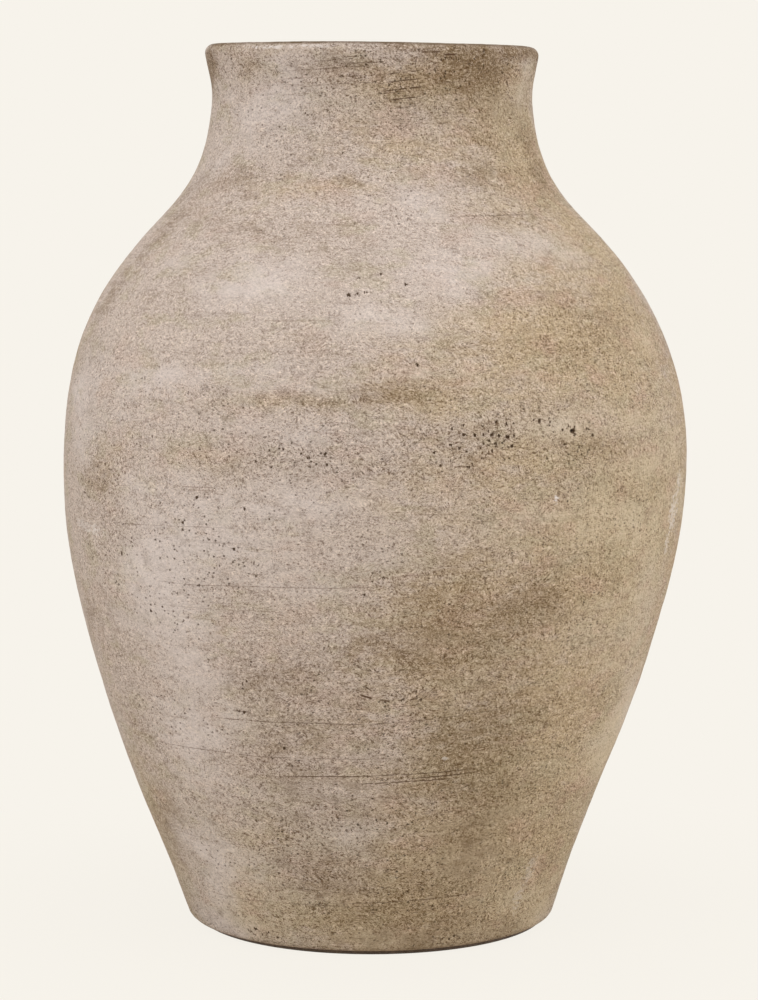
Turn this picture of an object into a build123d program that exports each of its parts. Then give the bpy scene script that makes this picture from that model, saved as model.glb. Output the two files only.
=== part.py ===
from build123d import *
import os

# An olive jar of fired clay, thrown in rings that are luted one on another with slip.
# All sizes are in millimetres. The origin is the middle of the underside, and +Z is up.

# Overall form
overall_height = 460.0       # from the underside to the top of the rim
foot_radius = 97.0           # outside of the wall at the underside, before its edge is rounded
belly_radius = 164.7         # widest part of the jar
belly_height = 244.0
neck_radius = 84.4           # narrowest part of the neck
neck_drop = 26.0             # from the top of the rim down to the narrowest part
lip_radius = 88.8            # outside of the wall at the rim, before its edge is rounded

# Leans of the wall from upright
foot_lean_degrees = 19.0
lip_lean_degrees = 8.0

# Thickness of the clay
floor_thickness = 14.0
base_wall = 12.0
body_wall = 10.0
shoulder_wall = 9.0
neck_wall = 8.0
rim_wall = 9.5

# Rounded edges: the rim's two may take no more than their shares of its wall
foot_round = 4.5
lip_round = 4.5
mouth_round = 3.5
floor_round = 16.0
lip_share = 0.48
mouth_share = 0.4

# Slip between the rings: each ring's lower edge is a tongue in the groove of the one below
slip_thickness = 0.8
tongue_depth = 3.0

# Felt disc glued under the foot, inside the foot's rounded edge
felt_thickness = 2.2
felt_inset = 0.5

# One overrun carries each cut clear of the clay
overrun = 4.0

# Points of the outer wall, from foot to belly and then from belly to neck, each as shares
# of the way up and of the way across
lower_wall_shares = [(0.16, 0.2), (0.405, 0.54), (0.653, 0.815), (0.82, 0.948)]
upper_wall_shares = [(0.3, 0.103), (0.51, 0.348), (0.621, 0.56), (0.72, 0.776), (0.82, 0.922), (0.91, 0.982)]

# Where the inner wall is set out, as shares of the outer wall's length, and the wall there
inner_wall_shares = [
    (0.0, base_wall),
    (0.12, base_wall),
    (0.26, body_wall),
    (0.4, body_wall),
    (0.52, body_wall),
    (0.62, shoulder_wall),
    (0.71, shoulder_wall),
    (0.79, shoulder_wall),
    (0.87, neck_wall),
    (0.94, neck_wall),
    (1.0, rim_wall),
]

# The seams between rings from the base up, as shares of the outer wall's length, and the wall there
ring_seam_shares = [
    (0.232, body_wall),
    (0.414, body_wall),
    (0.6, shoulder_wall),
    (0.72, shoulder_wall),
    (0.8425, neck_wall),
    (0.974, rim_wall),
]

# The floor's seam lies this share of the way up the rounded corner above the floor
floor_seam_share = 0.25

# Names of the slip seams and of the clay between them, from the floor up
floor_seam_name = "floor_slip_seam"
ring_seam_names = [
    "base_slip_seam",
    "body_slip_seam",
    "belly_slip_seam",
    "shoulder_slip_seam",
    "neck_slip_seam",
    "rim_slip_seam",
]
clay_names = [
    "floor_slab",
    "base_ring",
    "lower_body_ring",
    "belly_ring",
    "lower_shoulder_ring",
    "upper_shoulder_ring",
    "neck_collar",
    "rim_coil",
]

# Sizes that follow from the ones above
neck_height = overall_height - neck_drop
floor_top = felt_thickness + floor_thickness
felt_radius = foot_radius - foot_round - felt_inset


def leaning(degrees):
    """Direction up a wall that leans outwards by so many degrees."""
    return Vector(0, 0, 1).rotate(Axis.Y, degrees)


def inward(line, share):
    """Direction into the clay, square to the outer wall."""
    return (line % share).cross(Vector(0, 1, 0))


def section_of(*points):
    """Flat piece of the jar's section with straight sides."""
    return make_face(Polyline(*points, close=True))


def make_outer_line():
    """Outside of the jar in section, from the underside up to the rim."""
    points = [(foot_radius, 0, felt_thickness)]
    for up, across in lower_wall_shares:
        radius = foot_radius + across * (belly_radius - foot_radius)
        points.append((radius, 0, felt_thickness + up * (belly_height - felt_thickness)))
    points.append((belly_radius, 0, belly_height))
    for up, across in upper_wall_shares:
        radius = belly_radius + across * (neck_radius - belly_radius)
        points.append((radius, 0, belly_height + up * (neck_height - belly_height)))
    points.append((neck_radius, 0, neck_height))
    points.append((lip_radius, 0, overall_height))
    return Spline(*points, tangents=(leaning(foot_lean_degrees), leaning(lip_lean_degrees)))


def make_inner_line(outer_line):
    """Inside of the wall in section, a wall's thickness from the outside."""
    return Spline(*[outer_line @ share + inward(outer_line, share) * wall for share, wall in inner_wall_shares])


def fill_to_axis(line):
    """Flat piece between a line of the wall and the middle of the jar."""
    low = line @ 0
    high = line @ 1
    foot_of_axis = (0, 0, low.Z)
    head_of_axis = (0, 0, high.Z)
    return make_face([line, Line(high, head_of_axis), Line(head_of_axis, foot_of_axis), Line(foot_of_axis, low)])


def corner_of(face, level, reach):
    """Corner of the face: level 0 is the lowest row of corners, reach -1 the outermost of it."""
    return face.vertices().group_by(Axis.Z)[level].sort_by(Axis.X)[reach]


def make_hollow(outer_line):
    """Section of the space inside, with a rounded corner all round the floor."""
    inner_line = make_inner_line(outer_line)
    mouth = inner_line @ 1
    above = Vector(0, 0, overrun)
    open_mouth = section_of((0, 0, mouth.Z), mouth, mouth + above, above + (0, 0, mouth.Z))
    below_floor = section_of(
        (-overrun, 0, -overrun),
        (belly_radius, 0, -overrun),
        (belly_radius, 0, floor_top),
        (-overrun, 0, floor_top),
    )
    hollow = fill_to_axis(inner_line) + open_mouth - below_floor
    return fillet(corner_of(hollow, 0, -1), floor_round)


def make_section(outer_line):
    """Section of all the clay, from the middle of the floor out to the wall and up to the rim."""
    clay = fill_to_axis(outer_line) - make_hollow(outer_line)
    clay = fillet(corner_of(clay, 0, -1), foot_round)
    clay = fillet(corner_of(clay, -1, -1), min(lip_round, lip_share * rim_wall))
    return fillet(corner_of(clay, -1, 0), min(mouth_round, mouth_share * rim_wall))


def make_floor_seam():
    """Level band of slip where the base ring stands on the floor's turned-up edge."""
    low = floor_top + floor_seam_share * floor_round
    high = low + slip_thickness
    reach = belly_radius + overrun
    return section_of((0, 0, low), (reach, 0, low), (reach, 0, high), (0, 0, high))


def make_ring_seam(outer_line, share, wall):
    """Bent band of slip across the wall, dipping to a tongue in the middle of it."""
    outside = outer_line @ share
    up = outer_line % share
    across = inward(outer_line, share)
    outer_end = outside - across * overrun
    tongue = outside + across * (wall / 2) - up * tongue_depth
    inner_end = outside + across * (wall + overrun)
    rise = up * slip_thickness
    return section_of(outer_end, tongue, inner_end, inner_end + rise, tongue + rise, outer_end + rise)


def write(face, name):
    """Turn a section round the jar's axis and write it as one piece."""
    solid = revolve(face, Axis.Z)
    solid.label = name
    export_step(solid, f"parts/{name}.step")


def main():
    os.makedirs("parts", exist_ok=True)
    outer_line = make_outer_line()
    clay = make_section(outer_line)

    seams = {floor_seam_name: make_floor_seam()}
    for name, (share, wall) in zip(ring_seam_names, ring_seam_shares, strict=True):
        seams[name] = make_ring_seam(outer_line, share, wall)
    for name, band in seams.items():
        write(clay & band, name)
        clay = clay - band

    for name, ring in zip(clay_names, clay.faces().sort_by(Axis.Z), strict=True):
        write(ring, name)

    felt = section_of((0, 0, 0), (felt_radius, 0, 0), (felt_radius, 0, felt_thickness), (0, 0, felt_thickness))
    write(felt, "base_felt")


main()
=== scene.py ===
import math

import bpy
import numpy as np
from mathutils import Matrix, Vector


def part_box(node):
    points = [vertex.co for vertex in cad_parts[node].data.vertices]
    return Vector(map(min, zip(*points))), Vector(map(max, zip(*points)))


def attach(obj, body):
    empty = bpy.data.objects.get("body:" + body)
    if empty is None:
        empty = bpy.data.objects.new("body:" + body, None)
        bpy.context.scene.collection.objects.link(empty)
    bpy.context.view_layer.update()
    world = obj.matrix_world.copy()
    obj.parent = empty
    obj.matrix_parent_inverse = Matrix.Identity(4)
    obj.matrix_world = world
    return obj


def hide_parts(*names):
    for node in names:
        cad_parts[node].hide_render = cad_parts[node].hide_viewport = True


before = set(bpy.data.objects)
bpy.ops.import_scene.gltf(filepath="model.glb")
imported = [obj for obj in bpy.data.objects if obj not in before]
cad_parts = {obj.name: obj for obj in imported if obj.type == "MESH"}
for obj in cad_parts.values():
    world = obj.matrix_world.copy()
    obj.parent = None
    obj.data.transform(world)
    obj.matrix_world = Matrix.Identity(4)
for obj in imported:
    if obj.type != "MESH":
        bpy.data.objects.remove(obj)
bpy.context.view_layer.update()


# Camera. It stands 1.64 m in front of the jar, a little lower than the rim, and looks down by
# about six degrees, so the rim hides the mouth and the foot shows as a shallow curve.
lens_place = (0.0039, -1.6309, 0.3902)
look_down = 5.836
camera_data = bpy.data.cameras.new("camera")
camera_data.lens = 110.93
camera = bpy.data.objects.new("camera", camera_data)
camera.location = lens_place
camera.rotation_euler = (math.radians(90 - look_down), 0, 0)
bpy.context.collection.objects.link(camera)
bpy.context.scene.camera = camera


# Floor slab. The potter beats a round of clay flat on the wheel, and its edge is the jar's foot.
# It is buff earthenware, fired, stained and rubbed with lime, and later rings are luted onto it.
turns = 896  # divisions of every piece round the jar
corner_turn = 38  # degrees between two chords of a section that make a sharp corner
uneven = 2.5  # a chord this many times its neighbour ends where the curve changes
curve_steps = 24  # short steps that a curved chord is followed by
side_gap, strip_gap = 0.006, 0.01  # empty shares at the edges of a strip in the flat map


def alone(piece):
    """Makes this piece the only selected one, and the active one."""
    bpy.ops.object.select_all(action="DESELECT")
    piece.select_set(True)
    bpy.context.view_layer.objects.active = piece


def section_of(node, piece):
    """The node's section on one side of the axis, as a line of (radius, height), anticlockwise, and
    whether the line is open, with both its ends on the axis."""
    piece.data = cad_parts[node].data.copy()
    piece.data.materials.clear()
    alone(piece)
    bpy.ops.object.mode_set(mode="EDIT")
    bpy.ops.mesh.select_all(action="SELECT")
    bpy.ops.mesh.remove_doubles(threshold=1e-6)
    for normal, both_sides in (((0, 1, 0), True), ((1, 0, 0), False)):
        bpy.ops.mesh.select_all(action="SELECT")
        bpy.ops.mesh.bisect(
            plane_co=(0, 0, 0), plane_no=normal, clear_inner=True, clear_outer=both_sides
        )
    bpy.ops.object.mode_set(mode="OBJECT")
    places = [v.co.copy() for v in piece.data.vertices]
    beside = {}
    for edge in piece.data.edges:
        a, b = edge.vertices
        beside.setdefault(a, []).append(b)
        beside.setdefault(b, []).append(a)
    ends = [v for v, others in beside.items() if len(others) == 1]
    walk = [min(ends or beside, key=lambda v: places[v].z)]
    while True:
        onward = [v for v in beside[walk[-1]] if v not in walk[-2:]]
        if not onward or onward[0] == walk[0]:
            break
        walk.append(onward[0])
    line = np.array([(places[v].x, places[v].z) for v in walk])
    after = np.roll(line, -1, 0)
    if (line[:, 0] * after[:, 1] - after[:, 0] * line[:, 1]).sum() < 0:
        line = line[::-1]
    return line, bool(ends)


def ease(value, low, high):
    """0 below low, 1 above high and a soft step between them, on numbers."""
    share = np.clip((value - low) / (high - low), 0, 1)
    return share * share * (3 - 2 * share)


def smooth_runs(line, is_open):
    """The line in runs from corner to corner, each curved truly through its points."""
    if not is_open:
        line = np.vstack([line, line[:1]])
    chords = np.diff(line, axis=0)
    lengths = np.hypot(*chords.T)
    ways = chords / lengths[:, None]
    turned = np.degrees(np.arccos(np.clip((ways[1:] * ways[:-1]).sum(1), -1, 1)))
    corners = [i + 1 for i in np.flatnonzero(turned > corner_turn)]
    if is_open:
        corners = [0] + corners + [len(line) - 1]
    else:
        ring = line[:-1]
        closing = math.degrees(math.acos(min(1, max(-1, float(ways[-1] @ ways[0])))))
        if closing > corner_turn:
            corners = [0] + corners
        line = np.vstack([ring[corners[0]:], ring[: corners[0] + 1]])
        corners = [c - corners[0] for c in corners] + [len(line) - 1]
    for first, last in zip(corners, corners[1:]):
        points = line[first : last + 1]
        steps = np.diff(points, axis=0)
        spans = np.hypot(*steps.T)
        ways = steps / spans[:, None]
        tangents = np.empty_like(points)
        for i in range(1, len(points) - 1):
            before, after = spans[i - 1], spans[i]
            if max(before, after) > uneven * min(before, after):
                before, after = after, before
            tangents[i] = ways[i - 1] * after + ways[i] * before
        if len(points) == 2:
            tangents[:] = ways[0]
        else:
            for end, near, way in ((0, 1, ways[0]), (-1, -2, ways[-1])):
                tangents[end] = 2 * (tangents[near] @ way) * way - tangents[near]
        tangents /= np.hypot(*tangents.T)[:, None]
        share = np.linspace(0, 1, curve_steps + 1)[:-1, None]
        curved = [
            points[i] * (1 + 2 * share) * (1 - share) ** 2
            + tangents[i] * spans[i] * share * (1 - share) ** 2
            + points[i + 1] * share ** 2 * (3 - 2 * share)
            - tangents[i + 1] * spans[i] * share ** 2 * (1 - share)
            for i in range(len(spans))
        ]
        yield np.vstack(curved + [points[-1:]])


def walls_among(runs, is_open, band):
    """Which run is the outer wall and which the inner one. A band between rings is wider than it is
    tall, so there the outermost run is the outer wall, and elsewhere the two longest are the walls."""
    if is_open:
        return 0, len(runs) - 1
    reach = [run[:, 0].mean() for run in runs]
    if band:
        return int(np.argmax(reach)), int(np.argmin(reach))
    length = [np.hypot(*np.diff(run, axis=0).T).sum() for run in runs]
    second, first = np.argsort(length)[-2:]
    if length[second] < length[first] / 2:
        return int(first), None
    return (int(first), int(second)) if reach[first] > reach[second] else (int(second), int(first))


def divided(node, piece, fine, coarse, band):
    """The section's points, the way each faces, how far it is outer skin or inner wall, and its place
    along the section, in which hidden faces count for less."""
    rows = []
    line, is_open = section_of(node, piece)
    runs = list(smooth_runs(line, is_open))
    outer, inner = walls_among(runs, is_open, band)
    for number, run in enumerate(runs):
        way = np.gradient(run, axis=0)
        way /= np.hypot(*way.T)[:, None]
        face = np.column_stack([way[:, 1], -way[:, 0]])
        skin = hollow = np.zeros(len(run))
        if number == outer:
            skin = ease(face[:, 0], -0.8, -0.3) * ease(face[:, 1], -0.97, -0.75)
            hollow = ease(-face[:, 0], 0.3, 0.8)
        elif number == inner:
            hollow = hollow + 1
        pitch = np.where(skin > 0.02, fine, coarse)
        steps = np.hypot(*np.diff(run, axis=0).T) / (pitch[1:] + pitch[:-1]) * 2
        along = np.concatenate([[0], np.cumsum(steps)])
        places = np.linspace(0, along[-1], max(1, math.ceil(along[-1])) + 1)
        fresh = np.column_stack([
            np.interp(places, along, column) for column in np.column_stack([run, face, skin, hollow]).T
        ])
        if rows:
            rows[-1] = max(rows[-1], fresh[0], key=lambda row: row[4:].sum())
            rows.extend(fresh[1:])
        else:
            rows.extend(fresh)
    if not is_open:
        rows[0] = max(rows.pop(), rows[0], key=lambda row: row[4:].sum())
    rows = np.array(rows)
    onward = np.roll(rows, -1, 0)
    seen_share = 0.15 + np.maximum(rows, onward)[:, 4:] @ (0.85, 0.3)
    spans = np.hypot(*(onward - rows)[:, :2].T) * seen_share
    if is_open:
        spans[-1] = 0
    return np.column_stack([rows, np.cumsum(spans) - spans]), is_open, spans.sum()


def numbers(mesh, name):
    """A vertex attribute's values, one for each vertex."""
    values = np.empty(len(mesh.vertices), np.float32)
    mesh.attributes[name].data.foreach_get("value", values)
    return values.astype(float)


def keep_numbers(mesh, name, values):
    """Stores one number or vector for each vertex."""
    kind, entry = ("FLOAT", "value") if values.ndim == 1 else ("FLOAT_VECTOR", "vector")
    layer = mesh.attributes.new(name, kind, "POINT")
    layer.data.foreach_set(entry, values.astype(np.float32).ravel())


def places_of(mesh):
    """The mesh's vertices as an array."""
    values = np.empty(len(mesh.vertices) * 3, np.float32)
    mesh.vertices.foreach_get("co", values)
    return values.astype(float).reshape(-1, 3)


# Places on the jar are an angle in degrees, 0 towards the viewer and growing to the right,
# and a height in millimetres.
named_pits = [  # angle, height, width, depth and how much wider than tall
    (-51, 206, 2.4, 1.3, 0.7), (8, 303, 1.9, 0.9, 1.2), (-4.5, 336, 1.9, 0.8, 1.6),
    (-2.8, 336.6, 1.3, 0.6, 2.2), (-1.2, 337.2, 1.1, 0.5, 2.6), (7, 341, 1.7, 0.8, 1.3),
    (-4, 370, 1.3, 0.5, 1.2), (-65, 76, 1.9, 0.7, 1), (-66, 57, 2, 0.8, 1), (45, 56, 1.6, 0.6, 1),
    (31, 106, 1.6, 0.6, 1), (2, 346, 1.2, 0.5, 1.2), (-2.5, 344, 1.2, 0.5, 2.6), (20.3, 269.5, 2.1, 0.9, 1.1),
    (21.7, 269, 2, 0.9, 0.8), (23.2, 274.3, 2.2, 1, 0.8), (23.2, 268.3, 2.1, 1, 1.5),
    (24.3, 268.7, 2, 0.9, 0.7), (24, 263.8, 2.1, 1, 1), (21.2, 275.5, 1.8, 0.8, 1.5),
    (29.5, 275.3, 2.2, 1, 0.7), (18.8, 273.8, 1.6, 0.7, 1.4), (15.3, 270, 2, 0.8, 1.1),
    (17.3, 269.5, 1.8, 0.8, 0.9), (20.9, 265.2, 1.6, 0.7, 1.8), (19.6, 264.5, 1.4, 0.6, 1.6),
    (15.6, 261.8, 1.6, 0.7, 1.2), (14.5, 263.5, 1.6, 0.7, 1.3), (10, 261.6, 1.7, 0.7, 1.4),
    (10.7, 264.3, 1.4, 0.6, 1.2), (13, 265, 1.5, 0.6, 1.4), (13.4, 272.9, 1.4, 0.7, 1),
    (16.7, 255.6, 1.8, 0.7, 0.8), (16, 254.4, 1.5, 0.6, 1.8), (30.7, 257, 1.5, 0.7, 1.2),
    (34.6, 263.5, 1.6, 0.6, 1.3), (37.9, 258, 1.6, 0.6, 1.2), (37.6, 261.7, 1.7, 0.7, 0.9),
    (36.4, 269.8, 2.7, 1.1, 1.6), (35.4, 272, 1.6, 0.7, 0.8), (28.4, 275.8, 1.5, 0.6, 1.5),
    (36.9, 271.6, 1.9, 0.8, 0.8), (-39, 9, 1.7, 0.8, 0.9), (-36, 10.5, 1.8, 0.8, 1.4),
    (-34, 8, 1.6, 0.7, 0.9), (-37, 7, 1.5, 0.6, 1.2), (-31.5, 9.5, 1.5, 0.7, 1.3), (-42, 12, 1.4, 0.6, 1),
    (-8, 256, 1.5, 0.6, 1.3), (-18, 262, 1.6, 0.7, 1.1), (-14, 266, 1.6, 0.7, 1.2), (-11, 259, 1.4, 0.6, 1.5),
    (-17, 163.5, 1.6, 0.6, 0.8), (-1.3, 193, 1.4, 0.6, 1.2), (13.5, 161, 1.6, 0.7, 0.8),
    (-17.5, 113.5, 1.8, 0.7, 1.5), (1.8, 201.5, 1.5, 0.6, 1.8), (-20.5, 201, 1.4, 0.5, 1),
    (-2, 185, 1.4, 0.5, 0.8), (9.8, 139.5, 1.6, 0.7, 0.8), (-59, 262, 1.7, 0.7, 0.8),
    (-45, 261, 1.6, 0.6, 1.2), (-31.3, 261.3, 1.9, 0.8, 1), (-42, 266, 1.4, 0.5, 1),
    (-23.9, 261, 1.6, 0.6, 1), (-31.8, 238, 2, 0.9, 1.3), (-22.4, 233.6, 1.7, 0.7, 0.8),
    (-34.9, 225, 1.7, 0.7, 1.3), (-34.9, 221.5, 1.6, 0.6, 1), (-24.5, 213.8, 1.9, 0.8, 0.9),
    (-48, 212, 1.5, 0.5, 1), (-32, 194.5, 1.9, 0.8, 0.9), (-41.5, 181.5, 1.7, 0.7, 0.8),
    (-44.6, 178.5, 2, 0.9, 1.2),
]
pit_clusters = [  # angle, height, spread in degrees, spread in mm, how many, largest width
    (20, 268, 6.5, 8, 38, 1.4), (13, 264, 6, 8, 18, 1.4), (36, 268, 4, 7, 14, 2), (-12, 262, 9, 10, 28, 1.9),
    (27, 286, 9, 7, 12, 1.4), (15, 257, 5, 4, 8, 1.4), (-26, 131, 1.9, 0.8, 8, 1.9),
    (5, 141, 7, 2.5, 12, 1.8), (17, 140, 2, 1, 4, 1.7), (0, 190, 22, 40, 30, 1.3), (-20, 60, 14, 26, 24, 1.5),
    (35, 40, 14, 20, 14, 1.3), (-34, 9, 8, 2.5, 14, 1.4), (24, 9, 8, 2.5, 14, 1.4),
    (-55, 250, 11, 30, 14, 1.3), (-22, 424, 8, 7, 14, 1.3), (-33, 420, 5, 6, 8, 1.3), (-8, 403, 6, 6, 8, 1.3),
    (12, 456.5, 9, 1, 9, 1.4), (28, 452, 5, 1.2, 9, 1.4), (50, 300, 10, 24, 8, 1.3), (-2, 338, 10, 8, 5, 1),
    (120, 262, 8, 6, 22, 2.2), (165, 275, 6, 5, 16, 2), (-140, 268, 9, 7, 24, 2.2),
    (-100, 190, 10, 30, 16, 1.6), (150, 120, 14, 24, 20, 1.6), (-165, 60, 12, 18, 16, 1.6),
    (95, 340, 8, 14, 8, 1.6), (-120, 400, 9, 9, 10, 1.4), (140, 425, 8, 8, 12, 1.4),
    (-155, 345, 10, 14, 8, 1.8), (100, 90, 10, 25, 12, 1.5), (-24.8, 146.5, 1.5, 4, 6, 1.6),
    (-22.5, 157, 1.2, 2, 4, 1.5), (-20.3, 258.5, 1.4, 5, 8, 1.6), (-32, 205, 6, 9, 14, 1.4),
    (-41, 190, 2, 6, 5, 1.4),
]
smallest = 0.8  # mm, the narrowest pit of a cluster
gathered = 0.6  # share of a cluster's spread within which two pits of three lie
chance = np.random.default_rng(7)
pits = list(named_pits)
for angle, height, wide, tall, count, largest in pit_clusters:
    for _ in range(count):
        width = smallest + (largest - smallest) * chance.random() ** 1.7
        pits.append((
            angle + wide * chance.normal() * gathered, height + tall * chance.normal() * gathered,
            width, width * chance.uniform(0.3, 0.5), chance.uniform(0.8, 1.5),
        ))
to_radians, to_metres = math.pi / 180, 0.001
pits = np.array(pits) * (to_radians, to_metres, to_metres / 2, to_metres, 1)


pit_margin = 0.0007  # metres round a pit in which the mesh is divided again
stray = 0.00034  # metres by which a pit's outline strays from an oval


def pit_depths(places, margin=0.0):
    """How deep a vertex lies in a pit, in metres, or with a margin whether it is that near one."""
    radius, angle = np.hypot(places[:, 0], places[:, 1]), np.arctan2(places[:, 0], -places[:, 1])
    if not margin:
        ragged = stray * np.sin(places * 4100 + 3 * np.sin(places[:, [1, 2, 0]] * 2300))
        angle = angle + ragged[:, 0] / np.maximum(radius, 0.01)
        places = places + ragged
    found = np.zeros(len(places))
    for pit_angle, height, half, depth, stretch in pits:
        near = np.flatnonzero(np.abs(places[:, 2] - height) < half + margin)
        across = np.angle(np.exp(1j * (angle[near] - pit_angle))) * radius[near]
        far = np.hypot(across / (half * stretch + margin), (places[near, 2] - height) / (half + margin))
        bowl = np.clip(1 - far ** 2, 0, 1)
        found[near] = np.maximum(found[near], (bowl > 0) if margin else depth * bowl ** 1.5)
    return found


def face_corners(mesh):
    """Every face corner's vertex, and where each face's corners start among them."""
    corners = np.empty(len(mesh.loops), np.int32)
    starts = np.empty(len(mesh.polygons), np.int32)
    mesh.loops.foreach_get("vertex_index", corners)
    mesh.polygons.foreach_get("loop_start", starts)
    return corners, starts


def unroll(mesh, whole):
    """Cuts the piece into strips along its turns and lays them flat, one above another, in a UV map."""
    corners, starts = face_corners(mesh)
    owner = np.repeat(np.arange(len(starts)), np.diff(np.append(starts, len(corners))))
    x, y, _ = places_of(mesh)[corners].T
    along = numbers(mesh, "along")[corners] / whole
    along += np.maximum.reduceat(along, starts)[owner] - along > 0.5
    middle = np.arctan2(np.add.reduceat(y, starts), np.add.reduceat(x, starts))[owner]
    aside = np.where(np.hypot(x, y) < 1e-6, 0, np.angle(np.exp(1j * (np.arctan2(y, x) - middle))))
    strips = max(1, round(math.sqrt(2 * math.pi * np.hypot(x, y).max() / whole)))
    middle = middle / (2 * math.pi) % 1 * strips
    strip = np.floor(middle)
    across = middle - strip + aside / (2 * math.pi) * strips
    flat = np.column_stack([
        side_gap + (1 - 2 * side_gap) * across,
        (strip + strip_gap + (1 - 2 * strip_gap) * along) / strips,
    ])
    layer = mesh.uv_layers.new(name="OFBake")
    layer.data.foreach_set("uv", flat.astype(np.float32).ravel())


def edit_faces(mesh, chosen):
    """Steps into the mesh with these faces selected."""
    mesh.polygons.foreach_set("select", chosen)
    bpy.context.tool_settings.mesh_select_mode = (False, False, True)
    bpy.ops.object.mode_set(mode="EDIT")
    bpy.ops.mesh.select_mode(type="FACE")


def throw(node, name, fine, coarse=0.004, band=False):
    """The node's section, spun round the jar's axis and divided again where there are pits."""
    piece = bpy.data.objects.new(name, bpy.data.meshes.new(name))
    bpy.context.collection.objects.link(piece)
    rows, is_open, whole = divided(node, piece, fine, coarse, band)
    mesh = bpy.data.meshes.new(name)
    last = len(rows) - 1
    edges = [(i, i + 1) for i in range(last)] + ([] if is_open else [(last, 0)])
    mesh.from_pydata([(r, 0, z) for r, z in rows[:, :2]], edges, [])
    piece.data = mesh
    for column, kept in enumerate(("outward", "upward", "skin", "hollow", "along"), 2):
        keep_numbers(mesh, kept, rows[:, column])
    alone(piece)
    wheel = piece.modifiers.new("wheel", "SCREW")
    wheel.axis = "Z"
    wheel.angle = 2 * math.pi
    wheel.steps = wheel.render_steps = turns
    wheel.use_merge_vertices = True
    wheel.merge_threshold = 1e-6
    bpy.ops.object.modifier_apply(modifier="wheel")
    bpy.ops.object.mode_set(mode="EDIT")
    bpy.ops.mesh.select_all(action="SELECT")
    bpy.ops.mesh.remove_doubles(threshold=2e-6)
    bpy.ops.mesh.normals_make_consistent(inside=False)
    bpy.ops.mesh.select_all(action="DESELECT")
    bpy.ops.object.mode_set(mode="OBJECT")
    unroll(mesh, whole)
    near = (pit_depths(places_of(mesh), margin=pit_margin) > 0) & (numbers(mesh, "skin") > 0.5)
    if near.any():
        corners, starts = face_corners(mesh)
        edit_faces(mesh, np.maximum.reduceat(near[corners], starts))
        bpy.ops.mesh.subdivide(number_cuts=2)
        bpy.ops.object.mode_set(mode="OBJECT")
    return piece


taller = 1.0045  # this jar stands a little taller than the true form
oval, lobed = 0.0035, 0.0012  # shares of the radius
lip_drawn_in = 0.009  # share of the radius
lean_low, lean_high = -0.0018, 0.0016  # metres to the right, above the foot and at the belly
rim_across, rim_back, rim_lift = -0.0099, 0.0153, 0.0005  # the rim's slopes, and metres up


def by_hand(places):
    """Moves points off the true form as the potter's hand did: a slight lean, an oval and a tilted rim."""
    x, y, z = places.T
    lean = lean_low * np.exp(-((z - 0.07) / 0.07) ** 2) + lean_high * np.exp(-((z - 0.25) / 0.06) ** 2)
    round_way = np.arctan2(x, -y)
    loose = ease(z, 0.01, 0.12)
    grown = 1 + loose * (oval * np.cos(2 * round_way - math.pi / 2) + lobed * np.cos(3 * round_way + 1))
    grown -= lip_drawn_in * ease(z, 0.42, 0.445)
    tilt = (rim_across * x + rim_back * y + rim_lift) * ease(z, 0.385, 0.45)
    return np.column_stack([x * grown + lean, y * grown, z * taller + tilt])


class Strand:
    """A socket of a node tree. Arithmetic on it adds Math nodes, and node() adds any other node."""

    def __init__(self, tree, socket=None):
        self.tree, self.socket = tree, socket

    def node(self, kind, settings=None, sockets=None, out=0):
        made = self.tree.nodes.new(kind)
        for name, value in (settings or {}).items():
            setattr(made, name, value)
        for name, value in (sockets or {}).items():
            if isinstance(value, Strand):
                self.tree.links.new(value.socket, made.inputs[name])
            else:
                made.inputs[name].default_value = value
        return Strand(self.tree, made.outputs[out] if len(made.outputs) else None)

    def node_from(self, kind, sockets=None, entry="Vector"):
        """A node that reads this socket."""
        return self.node(kind, {}, {entry: self, **(sockets or {})})

    def other(self, out):
        """Another output of the same node."""
        return Strand(self.tree, self.socket.node.outputs[out])

    def math(self, operation, *others):
        return self.node("ShaderNodeMath", {"operation": operation}, dict(enumerate((self,) + others)))

    def vectors(self, operation, *others, out=0):
        """Vector Math on this socket."""
        sockets = dict(enumerate((self,) + others))
        return self.node("ShaderNodeVectorMath", {"operation": operation}, sockets, out)

    def __add__(self, other):
        return self.math("ADD", other)

    def __mul__(self, other):
        return self.math("MULTIPLY", other)

    def __sub__(self, other):
        return self.math("SUBTRACT", other)

    def __rsub__(self, other):
        return self.math("MULTIPLY", -1) + other

    def __pow__(self, other):
        return self.math("POWER", other)

    __radd__, __rmul__ = __add__, __mul__

    def held(self):
        """Kept between 0 and 1."""
        return self.math("MAXIMUM", 0).math("MINIMUM", 1)

    def eased(self, low, high):
        """0 at low, 1 at high and a soft step between them."""
        return self.node("ShaderNodeMapRange", {"interpolation_type": "SMOOTHSTEP"},
                         {"Value": self, "From Min": low, "From Max": high})

    def stretched(self, across, up):
        """Places multiplied, so that a pattern is finer that way."""
        return self.vectors("MULTIPLY", (across, across, up))

    def noise(self, scale, detail=2.0, roughness=0.5):
        return self.node("ShaderNodeTexNoise", {}, {
            "Vector": self, "Scale": scale, "Detail": detail, "Roughness": roughness,
        })


swell, throwing_rings = 0.0014, 0.00028  # metres, the relief's whole depth outside
lump_height, pebble_height = 0.00026, 0.00022  # metres
finger_ridges = 0.0022  # metres, the depth of the ridges left inside
grit_shown = 4000  # turns the grit's height into a share for the painted shade in its hollows and painted light on its tops


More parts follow.
